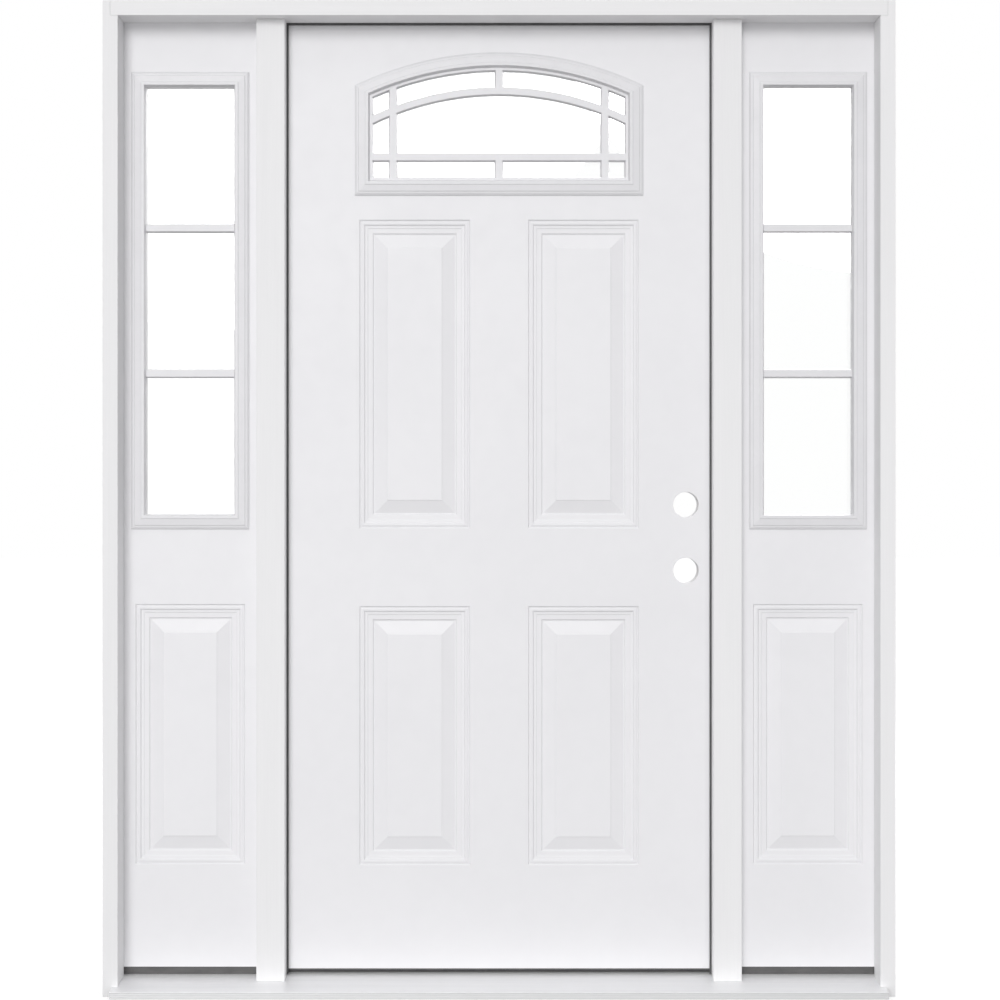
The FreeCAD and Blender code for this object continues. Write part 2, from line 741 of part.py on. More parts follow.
def bore_rods(name, axis, start_x, start_y, radius, length):
    """One cylinder at each lock height."""
    return [rod("%s_%d" % (name, index + 1), axis, (start_x, start_y, height), radius, length)
            for index, height in enumerate(("handle_bore_height", "upper_bore_height"))]


def make_leaf(mortises):
    draw = outline_maker()
    x = ("-(leaf_side)", "leaf_side")
    z = ("leaf_bottom", "leaf_top")
    face = "(leaf_face)"
    cutout = lite_prism("door_cutout", draw, (face + " - relief_plate", face + " + 2 * relief_plate"),
                        "lite_neck + lite_neck_clearance")
    skin_bores = bore_rods("skin_bore", "Y", "bore_x", face + " - relief_plate", "handle_bore_radius",
                           "3 * relief_plate")
    panels = []
    for low, high in (("lower_panel_bottom", "lower_panel_top"), ("upper_panel_bottom", "upper_panel_top")):
        panels.append((("-(panel_outer_edge)", "-panel_inner_edge"), (low, high)))
        panels.append((("panel_inner_edge", "panel_outer_edge"), (low, high)))
    outer = embossed_skin("door_outer_skin", face, x, z, panels, [cutout] + skin_bores)
    inner = mirrored("door_inner_turned", outer, INWARD, {"y": "leaf_middle"})
    keep(cut("door_inner_notched", inner, mortises), "door_inner_skin")
    core = ("core_face", "core_back")
    hinge_stile = box("hinge_stile_blank", (x[0], "-(stile_inner)"), core, z)
    keep(cut("hinge_stile_mortised", hinge_stile, mortises), "hinge_stile")
    lock_stile = box("lock_stile_blank", ("stile_inner", x[1]), core, z)
    stile_bores = bore_rods("stile_bore", "X", "stile_inner - stile_width", "leaf_middle", "edge_bore_radius",
                            "3 * stile_width")
    keep(cut("lock_stile_bored", lock_stile, stile_bores), "lock_stile")
    rail_x = ("-(stile_inner)", "stile_inner")
    keep(box("top_rail_board", rail_x, core, (z[1] + " - stile_width", z[1])), "top_rail")
    keep(box("bottom_rail_board", rail_x, core, (z[0], z[0] + " + stile_width")), "bottom_rail")
    block = box("lock_block_blank", ("stile_inner - lock_block_width", "stile_inner"), core,
                ("handle_bore_height - lock_block_margin", "upper_bore_height + lock_block_margin"))
    block_bores = bore_rods("block_bore", "Y", "bore_x", face, "handle_bore_radius", "slab_thickness")
    latch_bores = bore_rods("latch_bore", "X", "bore_x", "leaf_middle", "edge_bore_radius", "bore_backset")
    keep(cut("lock_block_bored", block, block_bores + latch_bores), "lock_block")
    make_lite_frame("door_lite_frame", draw, face, "leaf_middle")
    make_glass("door_glass", draw, face, "leaf_middle")
    make_door_grille(draw, face)
    make_sweep(x)


FIN_COUNT = 4


def make_sweep(x):
    """The finned seal under the leaf."""
    body = new_body("door_sweep_body")
    front, back = "(leaf_face + sweep_inset)", "(leaf_back - sweep_inset)"
    web, tip = "leaf_bottom - sweep_web", "leaf_bottom - sweep_drop"
    points = [(back, "leaf_bottom"), (front, "leaf_bottom")]
    for fin in range(FIN_COUNT):
        near = "%s + (%s - %s - sweep_fin) * %d / %d" % (front, back, front, fin, FIN_COUNT - 1)
        far = near + " + sweep_fin"
        if fin > 0:
            points.append((near, web))
        points += [(near, tip), (far, tip)]
        if fin < FIN_COUNT - 1:
            points.append((far, web))
    inset = "(leaf_side - sweep_inset)"
    sketch = outline(body, "sweep_section", "YZ_Plane", points)
    pad(body, "sweep_length", sketch, "2 * %s" % inset, midplane=True)
    keep(body, "door_sweep")


# Hinges

HINGES = (("top", "top_hinge"), ("middle", "middle_hinge"), ("bottom", "bottom_hinge"))


def hinge_half(label, plate_x, foot, knuckles):
    """One plate with its knuckles, bored for the pin."""
    plate_y = ("leaf_back - hinge_plate_width", "leaf_back")
    pieces = [box(label + "_plate", plate_x, plate_y, (foot, foot + " + hinge_height"))]
    for index in knuckles:
        low = "%s + %d * (knuckle_height + knuckle_gap)" % (foot, index)
        high = low + " + knuckle_height"
        pieces.append(box("%s_tab%d" % (label, index), plate_x, ("leaf_back", "pin_y"), (low, high)))
        pieces.append(rod("%s_knuckle%d" % (label, index), "Z", ("pin_x", "pin_y", low), "knuckle_radius",
                          "knuckle_height"))
    bore = rod(label + "_bore", "Z", ("pin_x", "pin_y", foot + " - knuckle_gap"), "pin_radius + pin_clearance",
               "hinge_height + 2 * knuckle_gap")
    keep(cut(label + "_bored", fuse(label + "_joined", pieces), [bore]), label)


def make_hinges():
    pins = []
    for name, foot in HINGES:
        frame_x = ("-(web_inner) - hinge_plate", "-(web_inner)")
        door_x = ("-(leaf_side)", "hinge_plate - (leaf_side)")
        hinge_half(name + "_hinge_frame_plate", frame_x, foot, (0, 2, 4))
        hinge_half(name + "_hinge_door_plate", door_x, foot, (1, 3))
        shaft = rod(name + "_pin_shaft", "Z", ("pin_x", "pin_y", foot), "pin_radius", "hinge_height")
        head = rod(name + "_pin_head", "Z", ("pin_x", "pin_y", foot + " + hinge_height"), "pin_head_radius",
                   "pin_head_height")
        pins.append(fuse(name + "_pin", [shaft, head]))
    keep(gather("pin_set", pins), "hinge_pins")


def hinge_mortises(label, x):
    """Pockets as large as the hinge plates."""
    depth = ("leaf_back - hinge_plate_width", "leaf_back + hinge_plate")
    return [box("%s_%s" % (label, name), x, depth, (foot, foot + " + hinge_height")) for name, foot in HINGES]


# Put the unit together

make_head_jamb()
make_side_jamb("left_jamb", "(-1)")
make_side_jamb("right_jamb", "1")
make_mullion("hinge_mullion", "(-1)",
             hinge_mortises("frame_mortise", ("-(web_inner) - hinge_plate", "-(web_inner) + hinge_plate")))
make_mullion("lock_mullion", "1", [])
make_sill()
for side_name, side in (("left", "(-1)"), ("right", "1")):
    make_sidelight_block(side_name, side)
    make_sidelight(side_name, side)
make_weatherstrips()
make_leaf(hinge_mortises("door_mortise", ("-(leaf_side) - hinge_plate", "-(leaf_side) + hinge_plate")))
make_hinges()
doc.recompute()

# Check every object and write one file for each piece

for thing in doc.Objects:
    if "Invalid" in thing.State or "Error" in thing.State:
        raise ValueError("%s did not rebuild" % thing.Name)
os.makedirs("parts", exist_ok=True)
for piece in nodes:
    if piece.Shape.isNull() or not piece.Shape.isValid() or not piece.Shape.Solids:
        raise ValueError("%s has no sound shape" % piece.Label)
    piece.Shape.exportStep("parts/%s.step" % piece.Label)
print("%d pieces written" % len(nodes))
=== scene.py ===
"""Looks for the entry door with sidelights: a finish for each piece, the hinge screws and a plain studio."""

import math

import bmesh
import bpy
from bpy.props import FloatProperty, FloatVectorProperty, IntProperty, PointerProperty
from mathutils import Matrix, Vector


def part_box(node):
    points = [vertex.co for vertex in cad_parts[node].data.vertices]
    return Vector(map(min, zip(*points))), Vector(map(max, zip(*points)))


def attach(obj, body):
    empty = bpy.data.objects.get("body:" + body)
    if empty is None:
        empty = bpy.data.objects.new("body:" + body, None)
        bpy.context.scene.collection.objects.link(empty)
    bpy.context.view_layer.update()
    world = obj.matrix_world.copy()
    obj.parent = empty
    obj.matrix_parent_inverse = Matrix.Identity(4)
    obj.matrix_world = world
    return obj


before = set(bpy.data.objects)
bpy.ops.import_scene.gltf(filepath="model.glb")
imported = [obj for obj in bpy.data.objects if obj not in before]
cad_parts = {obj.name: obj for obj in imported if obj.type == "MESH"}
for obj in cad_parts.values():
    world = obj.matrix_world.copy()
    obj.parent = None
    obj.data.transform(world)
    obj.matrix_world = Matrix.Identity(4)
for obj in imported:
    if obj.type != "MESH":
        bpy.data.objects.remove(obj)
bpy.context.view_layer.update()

bl_info = {
    "name": "Entry door with sidelights",
    "version": (1, 0, 0),
    "blender": (4, 5, 0),
    "location": "3D Viewport > Sidebar > Entry Door",
    "description": "Finishes, hinge screws and a plain studio for an entry door with two sidelights",
    "category": "Object",
}

GLAZED = ("door", "left_sidelight", "right_sidelight")
HINGES = ("top", "middle", "bottom")

# An arris is eased where the surface bends by more than this, in degrees
PLAIN_BEND = 28.0
PRESSED_BEND = 12.0

LAMPS = (
    # Name, the setting that holds its power, its width, its place and what it points at
    ("fill_lamp", "fill_power", 2.0, (-1.4, -5.2, 1.0), (0.0, 0.0, 1.2)),
    ("room_lamp", "back_power", 3.0, (1.6, 4.2, 3.4), (0.0, 0.0, 1.0)),
)


def finish_colour(name, description, default):
    return FloatVectorProperty(name=name, description=description, default=default, size=3, min=0.0, max=1.0,
                               subtype="COLOR")


def length(name, description, default):
    return FloatProperty(name=name, description=description, default=default, min=0.0, unit="LENGTH",
                         subtype="DISTANCE", precision=5)


# Settings a user would change

class EntryDoorFinish(bpy.types.PropertyGroup):
    """Colours and textures of the unit's own materials."""

    primer: finish_colour("Primer", "Factory primer on the jambs, head and posts", (0.86, 0.856, 0.861))
    primer_shade: finish_colour("Primer shade", "Tone of the primer's fainter patches", (0.825, 0.821, 0.827))
    steel: finish_colour("Steel skins", "Primed steel of the leaf and the sidelights", (0.832, 0.827, 0.842))
    steel_shade: finish_colour("Steel shade", "Tone of the steel's fainter patches", (0.812, 0.807, 0.823))
    plastic: finish_colour("Moulded white", "Lite frames and grilles", (0.765, 0.760, 0.776))
    plastic_shade: finish_colour("Moulded shade", "Tone of the moulded white's fainter patches",
                                 (0.74, 0.735, 0.751))
    aluminium: finish_colour("Mill aluminium", "Sill deck", (0.90, 0.903, 0.91))
    aluminium_streak: finish_colour("Aluminium streak", "Darker drawing lines in the aluminium",
                                    (0.80, 0.803, 0.81))
    # Painted shade: the colour the grooves between the nose's ribs are darkened to
    aluminium_groove: finish_colour("Rib groove shade", "Painted shade in the grooves between the nose's ribs",
                                    (0.48, 0.48, 0.485))
    rib_pitch: length("Rib pitch", "From one rib on the deck's nose to the next", 0.0042)
    rib_top: length("Rib top", "Height that the nose's ribs reach", 0.0148)
    composite: finish_colour("Sill composite", "Sill base, cap and the blocks under the sidelights",
                             (0.085, 0.084, 0.084))
    composite_shade: finish_colour("Composite fleck", "Flecks in the sill composite", (0.115, 0.113, 0.112))
    vinyl: finish_colour("Dark vinyl", "Weatherstrip and door sweep", (0.062, 0.062, 0.064))
    vinyl_shade: finish_colour("Vinyl bloom", "Dusty bloom on the vinyl", (0.095, 0.094, 0.096))
    pine: finish_colour("Bare pine", "Early wood of the stiles and rails", (0.74, 0.60, 0.42))
    pine_ring: finish_colour("Pine ring", "Late wood lines of the pine", (0.56, 0.38, 0.21))
    zinc: finish_colour("Satin zinc", "Hinge leaves, pins and screws", (0.66, 0.65, 0.62))
    zinc_streak: finish_colour("Zinc streak", "Darker brushing lines in the zinc", (0.46, 0.45, 0.43))
    # Painted shade: the colour that seams and inner corners are darkened to
    seam_dust: finish_colour("Painted seam shade", "Painted shade in the seams of the white pieces",
                             (0.60, 0.60, 0.60))
    seam_reach: length("Seam reach", "How far the painted shade reaches out of a seam", 0.004)


class EntryDoorDetail(bpy.types.PropertyGroup):
    """Sizes of the small forms that the frame's solids leave out."""

    wood_arris: length("Wood arris", "Eased edge on the jambs, head and posts", 0.0009)
    steel_arris: length("Steel arris", "Rounded fold of the steel skins", 0.0004)
    plastic_arris: length("Moulding arris", "Rounded edge of the lite frames and grilles", 0.0004)
    metal_arris: length("Metal arris", "Eased edge of the aluminium and the hinges", 0.0003)
    screw_radius: length("Screw head radius", "Radius of a hinge screw's countersunk head", 0.0042)
    screw_crown: length("Screw crown", "How far a screw head stands off its hinge leaf", 0.00035)
    screw_count: IntProperty(name="Screws", description="Screws in each hinge leaf", default=4, min=2, max=6)
    screw_end_margin: length("Screw end margin", "From a hinge leaf's end to its first screw", 0.0125)
    screw_stagger: length("Screw stagger", "How far alternate screws stand to either side", 0.0055)
    screw_line: length("Screw line", "From a hinge leaf's front edge to the middle of its screws", 0.0155)
    frame_leaf_face: length("Frame leaf face", "From a frame plate's left side to its screws' faces", 0.003)


class EntryDoorStudio(bpy.types.PropertyGroup):
    """Camera, lamps and floor."""

    camera_distance: length("Camera distance", "From the unit's front plane to the camera", 4.0)
    camera_height: length("Camera height", "Height of the camera, which looks level", 1.0345)
    camera_shift: length("Camera offset", "How far the camera stands right of the middle", 0.002)
    lens: FloatProperty(name="Lens", description="Focal length on a 36 mm sensor", default=69.14, min=10.0,
                        subtype="DISTANCE_CAMERA")
    key_power: FloatProperty(name="Key lamp", description="Strength of the far soft lamp, above and left",
                             default=1.25, min=0.0)
    key_height: FloatProperty(name="Key height", description="Angle of the key lamp over the horizon",
                              default=math.radians(18), min=0.0, subtype="ANGLE")
    key_side: FloatProperty(name="Key side", description="Angle of the key lamp to the left of straight on",
                            default=math.radians(8), subtype="ANGLE")
    key_softness: FloatProperty(name="Key softness", description="Width of the key lamp as the unit sees it",
                                default=math.radians(26), min=0.0, subtype="ANGLE")
    fill_power: FloatProperty(name="Fill lamp", description="Power of the lamp left of the camera",
                              default=30.0, min=0.0, unit="POWER")
    back_power: FloatProperty(name="Room lamp", description="Power of the lamp on the inner side",
                              default=100.0, min=0.0, unit="POWER")
    ambient: FloatProperty(name="Ambient", description="Strength of the soft light from all round",
                           default=0.6, min=0.0)
    floor_size: length("Floor size", "Side of the square floor", 60.0)
    floor_lift: FloatProperty(name="Floor lift", description="How much the floor is lightened for the camera",
                              default=0.70, min=0.0)


# Node helpers

def add_node(tree, kind, **values):
    node = tree.nodes.new(kind)
    for name, value in values.items():
        setattr(node, name, value)
    return node


def join(tree, source, target):
    tree.links.new(source, target)


def new_group(name, inputs, outputs):
    """A shader node group with named sockets; inputs are (name, kind, default)."""
    group = bpy.data.node_groups.new(name, "ShaderNodeTree")
    for label, kind, default in inputs:
        socket = group.interface.new_socket(label, in_out="INPUT", socket_type=kind)
        socket.default_value = default
    for label, kind in outputs:
        group.interface.new_socket(label, in_out="OUTPUT", socket_type=kind)
    return group, add_node(group, "NodeGroupInput"), add_node(group, "NodeGroupOutput")


def placed_coordinates(tree, stretch):
    """Object coordinates in metres, multiplied by a stretch along each axis."""
    coordinates = add_node(tree, "ShaderNodeTexCoord")
    scaled = add_node(tree, "ShaderNodeVectorMath", operation="MULTIPLY")
    join(tree, coordinates.outputs["Object"], scaled.inputs[0])
    join(tree, stretch, scaled.inputs[1])
    return scaled.outputs[0]


def noise(tree, vector, scale, detail=3.0, roughness=0.55, distortion=0.0):
    texture = add_node(tree, "ShaderNodeTexNoise")
    join(tree, vector, texture.inputs["Vector"])
    join(tree, scale, texture.inputs["Scale"])
    texture.inputs["Detail"].default_value = detail
    texture.inputs["Roughness"].default_value = roughness
    texture.inputs["Distortion"].default_value = distortion
    return texture.outputs["Fac"]


def spread(tree, value, low, high, to_low=0.0, to_high=1.0):
    """Stretch a value's range from low and high to two others, held within them."""
    ranged = add_node(tree, "ShaderNodeMapRange")
    join(tree, value, ranged.inputs["Value"])
    for name, number in (("From Min", low), ("From Max", high), ("To Min", to_low), ("To Max", to_high)):
        ranged.inputs[name].default_value = number
    return ranged.outputs["Result"]


def arithmetic(tree, operation, first, second):
    sum_node = add_node(tree, "ShaderNodeMath", operation=operation)
    for socket, number in zip(sum_node.inputs, (first, second)):
        if isinstance(number, (int, float)):
            socket.default_value = number
        else:
            join(tree, number, socket)
    return sum_node.outputs[0]


def blend_colours(tree, amount, first, second):
    """A mix of two colours; each value is a number, a colour or another node's output."""
    mix = add_node(tree, "ShaderNodeMix", data_type="RGBA")
    for index, value in ((0, amount), (6, first), (7, second)):
        if isinstance(value, bpy.types.NodeSocket):
            join(tree, value, mix.inputs[index])
        else:
            mix.inputs[index].default_value = value
    return mix.outputs[2]


# Shared effects

def sprayed_surface():
    """Blotches of tone, fine grain and an uneven sheen, as on primer, moulded plastic and vinyl."""
    group, inlet, outlet = new_group(
        "sprayed surface",
        (("Colour", "NodeSocketColor", (0.8, 0.8, 0.8, 1.0)),
         ("Blotch Colour", "NodeSocketColor", (0.7, 0.7, 0.7, 1.0)),
         ("Blotch Scale", "NodeSocketFloat", 7.0), ("Grain Scale", "NodeSocketFloat", 900.0),
         ("Stretch", "NodeSocketVector", (1.0, 1.0, 1.0)),
         ("Roughness", "NodeSocketFloat", 0.5), ("Sheen Variation", "NodeSocketFloat", 0.08)),
        (("Colour", "NodeSocketColor"), ("Roughness", "NodeSocketFloat"), ("Height", "NodeSocketFloat")))
    at = placed_coordinates(group, inlet.outputs["Stretch"])
    blotch = noise(group, at, inlet.outputs["Blotch Scale"], 4.0, 0.6, 0.4)
    fine_scale = arithmetic(group, "MULTIPLY", inlet.outputs["Blotch Scale"], 9.0)
    patch = noise(group, at, fine_scale, 3.0)
    mottle = arithmetic(group, "ADD", arithmetic(group, "MULTIPLY", blotch, 0.7),
                        arithmetic(group, "MULTIPLY", patch, 0.3))
    amount = spread(group, mottle, 0.38, 0.64)
    join(group, blend_colours(group, amount, inlet.outputs["Colour"], inlet.outputs["Blotch Colour"]),
         outlet.inputs["Colour"])
    grain = noise(group, at, inlet.outputs["Grain Scale"], 2.0, 0.5)
    uneven = arithmetic(group, "SUBTRACT", arithmetic(group, "ADD", patch, grain), 1.0)
    sheen = arithmetic(group, "MULTIPLY", uneven, inlet.outputs["Sheen Variation"])
    join(group, arithmetic(group, "ADD", inlet.outputs["Roughness"], sheen), outlet.inputs["Roughness"])
    join(group, arithmetic(group, "ADD", arithmetic(group, "MULTIPLY", grain, 0.7),
                           arithmetic(group, "MULTIPLY", patch, 0.3)), outlet.inputs["Height"])
    return group


def seam_dust():
    """Painted shade: a faint greyer tone in the seams and inner corners, found by ambient occlusion."""
    group, inlet, outlet = new_group(
        "seam dust",
        (("Colour", "NodeSocketColor", (0.8, 0.8, 0.8, 1.0)),
         ("Dust Colour", "NodeSocketColor", (0.5, 0.5, 0.5, 1.0)),
         ("Reach", "NodeSocketFloat", 0.005), ("Amount", "NodeSocketFloat", 0.4)),
        (("Colour", "NodeSocketColor"), ("Seam", "NodeSocketFloat")))
    # Painted shade: ambient occlusion greys the colour in seams and corners
    shade = add_node(group, "ShaderNodeAmbientOcclusion", samples=6)
    join(group, inlet.outputs["Reach"], shade.inputs["Distance"])
    closed = arithmetic(group, "SUBTRACT", 1.0, shade.outputs["AO"])
    seam = spread(group, closed, 0.35, 0.95)
    amount = arithmetic(group, "MULTIPLY", seam, inlet.outputs["Amount"])
    join(group, blend_colours(group, amount, inlet.outputs["Colour"], inlet.outputs["Dust Colour"]),
         outlet.inputs["Colour"])
    join(group, seam, outlet.inputs["Seam"])
    return group


def wood_figure():
    """Growth rings and pores drawn out along the board."""
    group, inlet, outlet = new_group(
        "wood figure",
        (("Early Wood", "NodeSocketColor", (0.7, 0.55, 0.35, 1.0)),
         ("Late Wood", "NodeSocketColor", (0.5, 0.3, 0.15, 1.0)),
         ("Stretch", "NodeSocketVector", (1.0, 1.0, 0.06)), ("Ring Scale", "NodeSocketFloat", 60.0),
         ("Pore Scale", "NodeSocketFloat", 900.0)),
        (("Colour", "NodeSocketColor"), ("Ring", "NodeSocketFloat"), ("Height", "NodeSocketFloat")))
    at = placed_coordinates(group, inlet.outputs["Stretch"])
    bands = add_node(group, "ShaderNodeTexWave", wave_type="RINGS", rings_direction="SPHERICAL",
                     wave_profile="SAW")
    join(group, at, bands.inputs["Vector"])
    join(group, inlet.outputs["Ring Scale"], bands.inputs["Scale"])
    for name, number in (("Distortion", 5.0), ("Detail", 3.0), ("Detail Scale", 1.4),
                         ("Detail Roughness", 0.6)):
        bands.inputs[name].default_value = number
    pores = noise(group, at, inlet.outputs["Pore Scale"], 3.0, 0.6)
    ring = spread(group, bands.outputs["Fac"], 0.25, 1.0)
    amount = arithmetic(group, "ADD", arithmetic(group, "MULTIPLY", ring, 0.65),
                        arithmetic(group, "MULTIPLY", pores, 0.3))
    join(group, blend_colours(group, amount, inlet.outputs["Early Wood"], inlet.outputs["Late Wood"]),
         outlet.inputs["Colour"])
    join(group, ring, outlet.inputs["Ring"])
    join(group, arithmetic(group, "ADD", arithmetic(group, "MULTIPLY", ring, 0.4), pores),
         outlet.inputs["Height"])
    return group


def drawn_metal():
    """Fine lines along the way the metal was drawn or brushed, with a slow change of tone."""
    group, inlet, outlet = new_group(
        "drawn metal",
        (("Colour", "NodeSocketColor", (0.8, 0.8, 0.8, 1.0)),
         ("Streak Colour", "NodeSocketColor", (0.6, 0.6, 0.6, 1.0)),
         ("Stretch", "NodeSocketVector", (0.02, 1.0, 1.0)), ("Line Scale", "NodeSocketFloat", 1200.0),
         ("Roughness", "NodeSocketFloat", 0.3), ("Sheen Variation", "NodeSocketFloat", 0.15)),
        (("Colour", "NodeSocketColor"), ("Roughness", "NodeSocketFloat"), ("Height", "NodeSocketFloat")))
    at = placed_coordinates(group, inlet.outputs["Stretch"])
    lines = noise(group, at, inlet.outputs["Line Scale"], 4.0, 0.7)
    slow_scale = arithmetic(group, "MULTIPLY", inlet.outputs["Line Scale"], 0.03)
    slow = noise(group, at, slow_scale, 3.0)
    streak = spread(group, lines, 0.4, 0.75)
    tone = arithmetic(group, "ADD", arithmetic(group, "MULTIPLY", streak, 0.55),
                      arithmetic(group, "MULTIPLY", spread(group, slow, 0.4, 0.65), 0.45))
    join(group, blend_colours(group, tone, inlet.outputs["Colour"], inlet.outputs["Streak Colour"]),
         outlet.inputs["Colour"])
    uneven = arithmetic(group, "MULTIPLY", arithmetic(group, "SUBTRACT", tone, 0.5),
                        inlet.outputs["Sheen Variation"])
    join(group, arithmetic(group, "ADD", inlet.outputs["Roughness"], uneven), outlet.inputs["Roughness"])
    join(group, lines, outlet.inputs["Height"])
    return group


def nose_ribs():
    """Fine ribs along the nose of the deck, below a height, and a mask that paints shade into the grooves
    between them.
    """
    group, inlet, outlet = new_group(
        "nose ribs",
        (("Pitch", "NodeSocketFloat", 0.0042), ("Top", "NodeSocketFloat", 0.015),
         ("Shift", "NodeSocketFloat", 0.0)),
        (("Rib", "NodeSocketFloat"), ("Groove", "NodeSocketFloat")))
    coordinates = add_node(group, "ShaderNodeTexCoord")
    parts = add_node(group, "ShaderNodeSeparateXYZ")
    join(group, coordinates.outputs["Object"], parts.inputs[0])
    height = parts.outputs["Z"]
    turns = arithmetic(group, "DIVIDE", arithmetic(group, "SUBTRACT", height, inlet.outputs["Shift"]),
                       inlet.outputs["Pitch"])
    wave = arithmetic(group, "COSINE", arithmetic(group, "MULTIPLY", turns, math.tau), 0.0)
    under = arithmetic(group, "LESS_THAN", height, inlet.outputs["Top"])
    join(group, arithmetic(group, "MULTIPLY", spread(group, wave, -1.0, -0.2), under), outlet.inputs["Rib"])
    # Painted shade: the grooves between the ribs get a darker colour
    join(group, arithmetic(group, "MULTIPLY", spread(group, wave, 1.0, -1.0, 0.45, 1.0), under),
         outlet.inputs["Groove"])
    return group


def shared_effect(maker):
    """The node group that a maker builds, made once."""
    name = maker.__name__.replace("_", " ")
    return bpy.data.node_groups.get(name) or maker()


def place_effect(tree, maker, **values):
    """Put a shared effect in a material, with this material's own values."""
    node = add_node(tree, "ShaderNodeGroup")
    node.node_tree = shared_effect(maker)
    for name, value in values.items():
        socket = node.inputs[name.replace("_", " ").title()]
        socket.default_value = (*value, 1.0) if socket.type == "RGBA" else value
    return node


def bump(tree, shader, height, depth, strength=1.0):
    """Raise the shader's normal by a height map, depth in metres."""
    node = add_node(tree, "ShaderNodeBump")
    node.inputs["Strength"].default_value = strength
    node.inputs["Distance"].default_value = depth
    join(tree, height, node.inputs["Height"])
    join(tree, node.outputs["Normal"], shader.inputs["Normal"])


def new_material(name, **constants):
    """A material with one Principled BSDF, its constant sockets set on the shader itself."""
    material = bpy.data.materials.new(name)
    material.use_nodes = True
    tree = material.node_tree
    shader = next(node for node in tree.nodes if node.type == "BSDF_PRINCIPLED")
    for label, number in constants.items():
        shader.inputs[label.replace("_", " ")].default_value = number
    return material, tree, shader


# Finishes of this unit

def white_finish(name, colour, shade, blotch, grain, roughness, depth, seam_shade_amount):
    """A white coat: primer, primed steel or moulded plastic, with painted shade in its seams and inner
    corners.
    """
    settings = bpy.context.scene.entry_door_finish
    material, tree, shader = new_material(name, IOR=1.45, Specular_IOR_Level=0.42)
    coat = place_effect(tree, sprayed_surface, colour=colour, blotch_colour=shade, blotch_scale=blotch,
                        grain_scale=grain, roughness=roughness, sheen_variation=0.16)
    # Painted shade darkens the coat's seams and inner corners
    shaded_seams = place_effect(tree, seam_dust, dust_colour=settings.seam_dust, reach=settings.seam_reach,
                         amount=seam_shade_amount)
    join(tree, coat.outputs["Colour"], shaded_seams.inputs["Colour"])
    join(tree, shaded_seams.outputs["Colour"], shader.inputs["Base Color"])
    join(tree, coat.outputs["Roughness"], shader.inputs["Roughness"])
    bump(tree, shader, coat.outputs["Height"], depth)
    return material


def primed_wood(name, stretch):
    """Primer over pine, with the board's figure showing through it as a faint relief."""
    settings = bpy.context.scene.entry_door_finish
    material, tree, shader = new_material(name, IOR=1.45, Specular_IOR_Level=0.35)
    coat = place_effect(tree, sprayed_surface, colour=settings.primer, blotch_colour=settings.primer_shade,
                        stretch=stretch, blotch_scale=9.0, grain_scale=700.0, roughness=0.55,
                        sheen_variation=0.18)
    figure = place_effect(tree, wood_figure, early_wood=settings.primer, late_wood=settings.primer_shade,
                          stretch=stretch, ring_scale=45.0, pore_scale=600.0)
    through = blend_colours(tree, 0.35, coat.outputs["Colour"], figure.outputs["Colour"])
    # Painted shade darkens the primer's seams and inner corners
    shaded_seams = place_effect(tree, seam_dust, dust_colour=settings.seam_dust, reach=settings.seam_reach,
                         amount=0.5)
    join(tree, through, shaded_seams.inputs["Colour"])
    join(tree, shaded_seams.outputs["Colour"], shader.inputs["Base Color"])
    join(tree, coat.outputs["Roughness"], shader.inputs["Roughness"])
    relief = arithmetic(tree, "ADD", coat.outputs["Height"], figure.outputs["Height"])
    bump(tree, shader, relief, 0.00012)
    return material


def bare_pine(name, stretch):
    settings = bpy.context.scene.entry_door_finish
    material, tree, shader = new_material(name, IOR=1.4, Specular_IOR_Level=0.25)
    figure = place_effect(tree, wood_figure, early_wood=settings.pine, late_wood=settings.pine_ring,
                          stretch=stretch, ring_scale=55.0, pore_scale=800.0)
    join(tree, figure.outputs["Colour"], shader.inputs["Base Color"])
    join(tree, spread(tree, figure.outputs["Ring"], 0.0, 1.0, 0.72, 0.55), shader.inputs["Roughness"])
    bump(tree, shader, figure.outputs["Height"], 0.0002)
    return material


def zinc_finish(name, stretch, lines, roughness):
    settings = bpy.context.scene.entry_door_finish
    material, tree, shader = new_material(name, Metallic=1.0)
    drawn = place_effect(tree, drawn_metal, colour=settings.zinc, streak_colour=settings.zinc_streak,
                         stretch=stretch, line_scale=lines, roughness=roughness, sheen_variation=0.16)
    join(tree, drawn.outputs["Colour"], shader.inputs["Base Color"])
    join(tree, drawn.outputs["Roughness"], shader.inputs["Roughness"])
    bump(tree, shader, drawn.outputs["Height"], 0.00002)
    return material


def deck_finish(name):
    """Dull mill aluminium drawn along the sill, with ribs on its nose and painted shade in their grooves."""
    settings = bpy.context.scene.entry_door_finish
    material, tree, shader = new_material(name, Metallic=0.5)
    drawn = place_effect(tree, drawn_metal, colour=settings.aluminium,
                         streak_colour=settings.aluminium_streak, stretch=(0.012, 1.0, 1.0),
                         line_scale=1400.0, roughness=0.55, sheen_variation=0.16)
    ribs = place_effect(tree, nose_ribs, pitch=settings.rib_pitch, top=settings.rib_top,
                        shift=settings.rib_pitch / 2)
    # Painted shade: the rib grooves are darkened in the base colour
    painted_groove_colour = blend_colours(tree, ribs.outputs["Groove"], drawn.outputs["Colour"],
                             (*settings.aluminium_groove, 1.0))
    join(tree, painted_groove_colour, shader.inputs["Base Color"])
    join(tree, drawn.outputs["Roughness"], shader.inputs["Roughness"])
    relief = arithmetic(tree, "ADD", arithmetic(tree, "MULTIPLY", drawn.outputs["Height"], 0.06),
                        ribs.outputs["Rib"])
    bump(tree, shader, relief, 0.0003)
    return material


